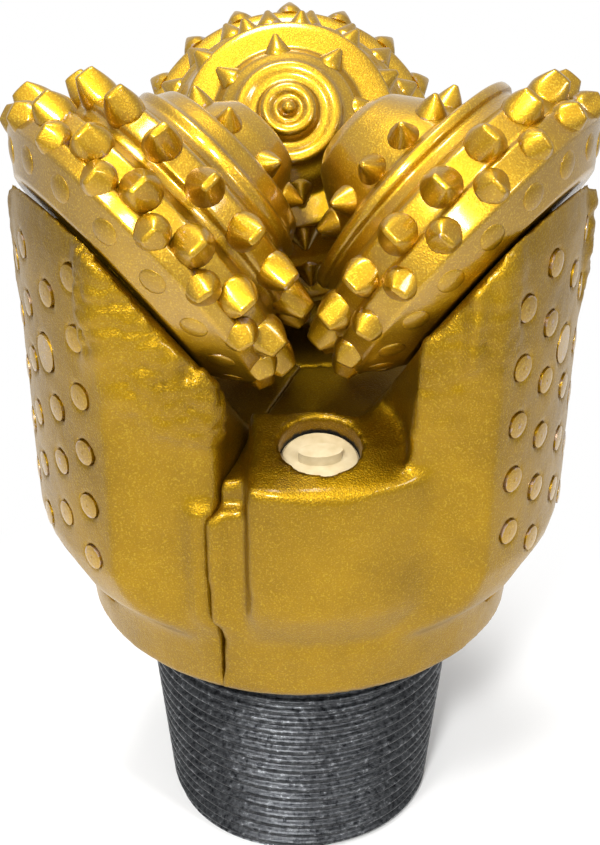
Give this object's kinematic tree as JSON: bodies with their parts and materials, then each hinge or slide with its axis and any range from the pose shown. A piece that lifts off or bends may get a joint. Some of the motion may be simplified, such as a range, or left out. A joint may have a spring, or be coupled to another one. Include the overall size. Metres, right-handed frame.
{
  "type": "tricone drill bit",
  "caption": "Roller cone rock bit with three leaning cones of pressed-in inserts on sealed journals, nozzle bosses between the legs and a tapered threaded pin.",
  "frame": {"origin": "centre of the make-up shoulder plane, on the bit's centre line", "axes": "+Z along the centre line from the pin towards the cones; the first leg stands on the +Y side; the nozzle seen from the front faces -Y"},
  "size_m": [0.2434, 0.2349, 0.381],
  "materials": {
    "gold_paint": "satin",
    "painted_carbide": "satin",
    "carbide": "satin",
    "plated_steel": "satin",
    "bearing_steel": "polished",
    "bearing_bronze": "satin",
    "black_rubber": "matte",
    "cream_plastic": "satin"
  },
  "bodies": {
    "bit_body": {"leg_1": "gold_paint", "leg_1_gauge_buttons": "carbide", "ball_plug_1": "gold_paint", "seam_weld_1": "gold_paint", "reservoir_canister_1": "plated_steel", "reservoir_diaphragm_1": "black_rubber", "reservoir_cap_1": "gold_paint", "nozzle_1": "carbide", "nozzle_plug_1": "cream_plastic", "cone_1_balls": "bearing_steel", "cone_1_thrust_washer": "bearing_bronze", "leg_2": "gold_paint", "leg_2_gauge_buttons": "carbide", "ball_plug_2": "gold_paint", "seam_weld_2": "gold_paint", "reservoir_canister_2": "plated_steel", "reservoir_diaphragm_2": "black_rubber", "reservoir_cap_2": "gold_paint", "nozzle_2": "carbide", "nozzle_plug_2": "cream_plastic", "cone_2_balls": "bearing_steel", "cone_2_thrust_washer": "bearing_bronze", "leg_3": "gold_paint", "leg_3_gauge_buttons": "carbide", "ball_plug_3": "gold_paint", "seam_weld_3": "gold_paint", "reservoir_canister_3": "plated_steel", "reservoir_diaphragm_3": "black_rubber", "reservoir_cap_3": "gold_paint", "nozzle_3": "carbide", "nozzle_plug_3": "cream_plastic", "cone_3_balls": "bearing_steel", "cone_3_thrust_washer": "bearing_bronze", "nozzle_snap_rings": "plated_steel", "nozzle_o_rings": "black_rubber", "reservoir_snap_rings": "plated_steel"},
    "cone_1": {"cone_1_shell": "gold_paint", "cone_1_heel_inserts": "painted_carbide", "cone_1_gauge_inserts": "painted_carbide", "cone_1_outer_inserts": "painted_carbide", "cone_1_middle_inserts": "painted_carbide", "cone_1_nose_inserts": "painted_carbide", "cone_1_bushing": "bearing_bronze", "cone_1_seal": "black_rubber"},
    "cone_2": {"cone_2_shell": "gold_paint", "cone_2_heel_inserts": "painted_carbide", "cone_2_gauge_inserts": "painted_carbide", "cone_2_outer_inserts": "painted_carbide", "cone_2_middle_inserts": "painted_carbide", "cone_2_nose_inserts": "painted_carbide", "cone_2_bushing": "bearing_bronze", "cone_2_seal": "black_rubber"},
    "cone_3": {"cone_3_shell": "gold_paint", "cone_3_heel_inserts": "painted_carbide", "cone_3_gauge_inserts": "painted_carbide", "cone_3_outer_inserts": "painted_carbide", "cone_3_nose_inserts": "painted_carbide", "cone_3_bushing": "bearing_bronze", "cone_3_seal": "black_rubber"}
  },
  "joints": [
    {"name": "cone_1_spin", "type": "hinge", "parent": "bit_body", "child": "cone_1", "pos_m": [-0.005, 0.07782, 0.18301], "axis": [0, 0.8192, -0.5736], "continuous": true},
    {"name": "cone_2_spin", "type": "hinge", "parent": "bit_body", "child": "cone_2", "pos_m": [-0.06489, -0.04324, 0.18301], "axis": [-0.7094, -0.4096, -0.5736], "continuous": true},
    {"name": "cone_3_spin", "type": "hinge", "parent": "bit_body", "child": "cone_3", "pos_m": [0.06989, -0.03458, 0.18301], "axis": [0.7094, -0.4096, -0.5736], "continuous": true}
  ]
}
